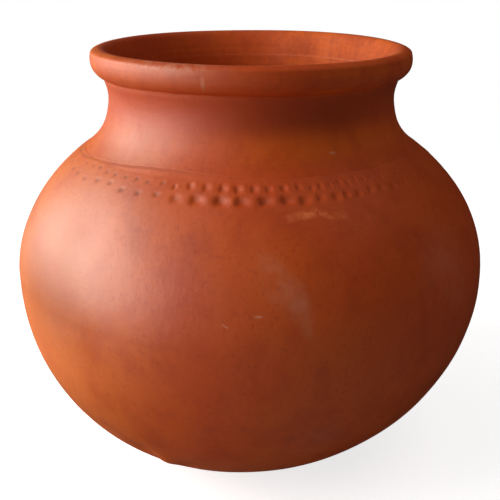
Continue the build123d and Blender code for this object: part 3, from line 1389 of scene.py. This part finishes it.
@dataclass
class SubAssembly:
    """Members of the jar that are made and dressed alike."""

    work: Handwork
    segments: int = 480
    row: float = 1.8 * MM
    inner_row: float = 3.0 * MM
    seam_row: float = 0.25 * MM
    doublings: int = 4
    seat_edge: float = math.radians(38)
    merge_reach: float = 0.001 * MM
    pieces: list[bpy.types.Object] = field(default_factory=list)

    def section(self, low: Seat | None, high: Seat | None, slip: bool) -> tuple[np.ndarray, bool]:
        """Draw the section of a member between two seats.

        Args:
            low: Seat under the member, or None where it reaches the axis.
            high: Seat over it, or None where it reaches the lip's crest.
            slip: True for the slip that fills the lower seat itself.

        Returns:
            Points as rows of radius and height, and whether they close on themselves.
        """
        work = self.work
        lower = low.heights(not slip) if low else (0.0, 0.0)
        upper = low.heights(True) if slip else high.heights(False) if high else (None, None)
        sides = []
        for outline, bottom, top, row in (
            (work.outside, lower[0], upper[0], self.row),
            (work.inside, lower[1], upper[1], self.inner_row),
        ):
            start = outline.place(bottom) if low else 0.0
            end = outline.end if top is None else outline.place(top)
            first = [outline.stretch(start, start + self.seam_row, self.seam_row)[:1]] if low else []
            last = [outline.stretch(end - self.seam_row, end, self.seam_row)[-1:]] if top is not None else []
            start += self.seam_row if low else 0.0
            end -= self.seam_row if top is not None else 0.0
            sides.append(np.vstack((*first, outline.stretch(start, end, row), *last)))
        outside, inside = sides
        if upper[0] is None:
            inside = inside[:-1]
        return np.vstack((outside, inside[::-1])), low is not None

    def turned(self, node: str, slot: Slot, section: np.ndarray, closed: bool) -> bpy.types.Object:
        """Spin a section into a member, shape it by hand and set it in place of its node.

        Args:
            node: The node that the member stands for.
            slot: The slot that it takes its finish from.
            section: Points as rows of radius and height.
            closed: Whether the section closes on itself, clear of the axis.

        Returns:
            The member's object.
        """
        shell = bmesh.new()
        corners = [shell.verts.new((0, -radius, height)) for radius, height in section]
        edges = [shell.edges.new(pair) for pair in zip(corners, corners[1:])]
        if closed:
            edges.append(shell.edges.new((corners[-1], corners[0])))
        wedge = FULL_TURN / 2**self.doublings
        bmesh.ops.spin(
            shell, geom=corners + edges, cent=(0, 0, 0), axis=(0, 0, 1), angle=wedge,
            steps=self.segments // 2**self.doublings, use_merge=False, use_duplicate=False,
        )
        for doubling in range(self.doublings):
            copy = bmesh.ops.duplicate(shell, geom=shell.verts[:] + shell.edges[:] + shell.faces[:])
            moved = [item for item in copy["geom"] if isinstance(item, bmesh.types.BMVert)]
            turn = Matrix.Rotation(wedge * 2**doubling, 3, "Z")
            bmesh.ops.rotate(shell, cent=(0, 0, 0), matrix=turn, verts=moved)
        bmesh.ops.remove_doubles(shell, verts=shell.verts, dist=self.merge_reach)
        bmesh.ops.recalc_face_normals(shell, faces=shell.faces)
        for face in shell.faces:
            face.smooth = True
        for edge in shell.edges:
            edge.smooth = edge.calc_face_angle(0.0) < self.seat_edge
        mesh = bpy.data.meshes.new(node + "_clay")
        shell.to_mesh(mesh)
        shell.free()

        places = np.empty(len(mesh.vertices) * 3)
        mesh.vertices.foreach_get("co", places)
        places, pressed, outer = self.work.shape(places.reshape(-1, 3))
        mesh.vertices.foreach_set("co", places.ravel())
        # The pressed attribute carries dirt and painted shade in the marks and the ledge's crease.
        for name, values in (("pressed", pressed), ("outer", outer)):
            mesh.attributes.new(name, "FLOAT", "POINT").data.foreach_set("value", values)
        mesh.update()
        piece = bpy.data.objects.new(node + "_clay", mesh)
        bpy.context.scene.collection.objects.link(piece)
        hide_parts(node)
        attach(piece, "root")
        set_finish(piece, slot.value)
        self.pieces.append(piece)
        log.info("%s: %d faces", piece.name, len(mesh.polygons))
        return piece

    def dress(self, finishes: dict[Slot, bpy.types.Material]) -> None:
        """Give each member the material of its slot."""
        for piece in self.pieces:
            piece.data.materials.append(finishes[Slot(piece["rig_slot"])])


@dataclass
class RoundBody(SubAssembly):
    """The pressed base bowl and the belly wall on it, with their slip."""

    def build(self, belly: Seat, shoulder: Seat) -> None:
        """Turn the bowl, the belly wall and both slip joints.

        Args:
            belly: Seat at the widest line.
            shoulder: Seat under the shoulder ring.
        """
        self.turned("base_bowl", Slot.BURNISHED, *self.section(None, belly, False))
        self.turned("belly_slip_joint", Slot.SLIP, *self.section(belly, None, True))
        self.turned("belly_wall", Slot.BURNISHED, *self.section(belly, shoulder, False))
        self.turned("shoulder_slip_joint", Slot.SLIP, *self.section(shoulder, None, True))


@dataclass
class MarkedShoulder(SubAssembly):
    """The shoulder ring with its two rows of marks, and the slip on its mouth."""

    segments: int = 1200
    row: float = 0.56 * MM

    def build(self, shoulder: Seat, collar: Seat) -> None:
        """Turn the ring and the slip under the collar.

        Args:
            shoulder: Seat under the ring.
            collar: Seat on its mouth.
        """
        self.turned("shoulder_ring", Slot.BURNISHED, *self.section(shoulder, collar, False))
        self.turned("neck_slip_joint", Slot.SLIP, *self.section(collar, None, True))


@dataclass
class NeckAndRim(SubAssembly):
    """The neck collar, the rolled rim and the slip in the groove between them."""

    segments: int = 720
    row: float = 0.8 * MM
    inner_row: float = 1.0 * MM

    def build(self, collar: Seat, rim: Seat) -> None:
        """Turn the collar, the slip joint and the rim.

        Args:
            collar: Seat under the collar.
            rim: Seat under the rim.
        """
        self.turned("neck_collar", Slot.WIPED, *self.section(collar, rim, False))
        self.turned("rim_slip_joint", Slot.SLIP, *self.section(rim, None, True))
        self.turned("rim_roll", Slot.WIPED, *self.section(rim, None, False))


def aimed(
    name: str, data: bpy.types.ID, aim: Vector, turn: float, rise: float, distance: float
) -> bpy.types.Object:
    """Place a lamp or a camera round the jar, turned to a point.

    Args:
        name: Its name.
        data: Its lamp or camera data.
        aim: The point that it looks at.
        turn: Its turn from the front, in degrees.
        rise: Its angle above the level, in degrees.
        distance: Its distance from the point.

    Returns:
        The placed object.
    """
    angle, climb = math.radians(turn), math.radians(rise)
    level = math.cos(climb)
    away = Vector((level * math.sin(angle), -level * math.cos(angle), math.sin(climb)))
    placed = bpy.data.objects.new(name, data)
    placed.location = aim + away * distance
    placed.rotation_euler = away.to_track_quat("Z", "Y").to_euler()
    bpy.context.scene.collection.objects.link(placed)
    return placed


@dataclass(frozen=True)
class SoftLamp:
    """Square soft lamp that looks at the jar, by its turn and rise in degrees."""

    name: str
    turn: float
    rise: float
    distance: float
    size: float
    power: float
    in_gloss: bool = False
    in_matt: bool = True
    colour: Triple = (1.0, 0.97, 0.93)

    def build(self, aim: Vector) -> bpy.types.Object:
        """Hang the lamp.

        Args:
            aim: The point that it looks at.

        Returns:
            The lamp's object.
        """
        data = bpy.data.lights.new(self.name, "AREA")
        data.size = self.size
        data.energy = self.power
        data.color = self.colour
        lamp = aimed(self.name, data, aim, self.turn, self.rise, self.distance)
        lamp.visible_camera = False
        lamp.visible_glossy = self.in_gloss
        lamp.visible_diffuse = self.in_matt
        return lamp


@dataclass(frozen=True)
class Studio:
    """Pale floor and backdrop, four soft lamps, two that show only in the gloss, and the camera."""

    floor_radius: float = 0.8
    floor_shown: float = 0.72
    floor_lift: float = 0.75
    floor_bounce: float = 0.5
    floor_gloss: float = 0.04
    fill: float = 0.15
    aim_height: float = 115.4 * MM
    camera_distance: float = 495.5 * MM
    camera_rise: float = 19.85
    lens: float = 61.38
    sensor_width: float = 36.0
    clip_start: float = 0.01
    floor_segments: int = 96
    lamps: tuple[SoftLamp, ...] = (
        SoftLamp("side_lamp", -72, 19, 1.05, 0.8, 9.4),
        SoftLamp("upper_lamp", -72, 50, 1.05, 0.8, 2.0),
        SoftLamp("edge_lamp", -112, 4, 1.05, 0.65, 3.6, in_gloss=True),
        SoftLamp("far_lamp", 88, 60, 1.4, 0.9, 2.8),
        SoftLamp("side_shine", -95, 25, 1.05, 0.65, 19.0, in_gloss=True, in_matt=False),
        SoftLamp("front_shine", -65, 10, 1.05, 0.65, 15.5, in_gloss=True, in_matt=False),
    )

    @staticmethod
    def _by_ray(graph: ShaderGraph, plain: object, gloss: object, camera: object) -> object:
        """Show a surface otherwise to some rays.

        Args:
            graph: The surface's nodes.
            plain: Shader for all other rays.
            gloss: Shader for what shows in gloss.
            camera: Shader for the camera.

        Returns:
            The joined shader's socket.
        """
        path = graph.add("ShaderNodeLightPath")
        shown = plain
        for ray, shader in ((Ray.GLOSSY, gloss), (Ray.CAMERA, camera)):
            values = {0: path.outputs[ray.value], 1: shown, 2: shader}
            shown = graph.add("ShaderNodeMixShader", {}, values).outputs[0]
        return shown

    def _backdrop(self) -> None:
        """Set the world: white to the camera, a weak even fill to the object."""
        world = bpy.data.worlds.new("backdrop")
        bpy.context.scene.world = world
        world.use_nodes = True
        world.cycles_visibility.glossy = False
        graph = ShaderGraph(world.node_tree)
        levels = [(level, level, level, 1.0) for level in (self.fill, 0.0, 1.0)]
        shaders = [graph.add("ShaderNodeBackground", {}, {0: level}).outputs[0] for level in levels]
        graph.add("ShaderNodeOutputWorld", {}, {"Surface": self._by_ray(graph, *shaders)})

    def _floor(self) -> bpy.types.Object:
        """Lay a wide pale floor that keeps the jar's shadow.

        Returns:
            The floor's object.
        """
        disc = bmesh.new()
        bmesh.ops.create_circle(disc, cap_ends=True, segments=self.floor_segments, radius=self.floor_radius)
        mesh = bpy.data.meshes.new("floor")
        disc.to_mesh(mesh)
        disc.free()
        floor = bpy.data.objects.new("floor", mesh)
        bpy.context.scene.collection.objects.link(floor)
        material = bpy.data.materials.new("pale_floor")
        material.use_nodes = True
        graph = ShaderGraph(material.node_tree)
        shown, bounce, gloss = (
            graph.add("ShaderNodeBsdfDiffuse", {}, {"Color": (level, level, level, 1.0)}).outputs[0]
            for level in (self.floor_shown, self.floor_bounce, self.floor_gloss)
        )
        lift = graph.add("ShaderNodeEmission", {}, {"Strength": self.floor_lift}).outputs[0]
        lit = graph.add("ShaderNodeAddShader", {}, {0: shown, 1: lift}).outputs[0]
        graph.add("ShaderNodeOutputMaterial", {}, {"Surface": self._by_ray(graph, bounce, gloss, lit)})
        mesh.materials.append(material)
        return floor

    def _camera(self, aim: Vector) -> bpy.types.Object:
        """Set the camera at the photograph's height, distance and angle of view.

        Args:
            aim: The point that it looks at.

        Returns:
            The camera's object.
        """
        data = bpy.data.cameras.new("camera")
        data.lens = self.lens
        data.sensor_width = self.sensor_width
        data.clip_start = self.clip_start
        camera = aimed("camera", data, aim, 0.0, self.camera_rise, self.camera_distance)
        bpy.context.scene.camera = camera
        return camera

    def build(self) -> None:
        """Put up the backdrop, the floor, the lamps and the camera."""
        aim = Vector((0, 0, self.aim_height))
        self._backdrop()
        self._floor()
        for lamp in self.lamps:
            lamp.build(aim)
        self._camera(aim)
        bpy.context.scene.view_settings.view_transform = "Standard"
        log.info("studio: floor, backdrop, %d lamps and the camera", len(self.lamps))


def main() -> None:
    """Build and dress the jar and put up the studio."""
    logging.basicConfig(level=logging.INFO, format="%(name)s: %(message)s")
    form = JarForm()
    work = Handwork(form, form.outside(), form.inside())
    belly = Seat("base_bowl", "belly_slip_joint", "belly_wall")
    shoulder = Seat("belly_wall", "shoulder_slip_joint", "shoulder_ring")
    collar = Seat("shoulder_ring", "neck_slip_joint", "neck_collar")
    rim = Seat("neck_collar", "rim_slip_joint", "rim_roll")

    finishes = {
        Slot.BURNISHED: BurnishedClay("burnished_clay", work.outside),
        Slot.WIPED: WipedClay("wiped_clay", work.outside),
        Slot.SLIP: BurnishedClay("fired_slip", work.outside, grain_height=0.01 * MM),
    }
    materials = {slot: finish.make() for slot, finish in finishes.items()}

    body = RoundBody(work)
    body.build(belly, shoulder)
    ring = MarkedShoulder(work)
    ring.build(shoulder, collar)
    neck = NeckAndRim(work)
    neck.build(collar, rim)
    for part in (body, ring, neck):
        part.dress(materials)

    Studio().build()


if __name__ == "__main__":
    main()
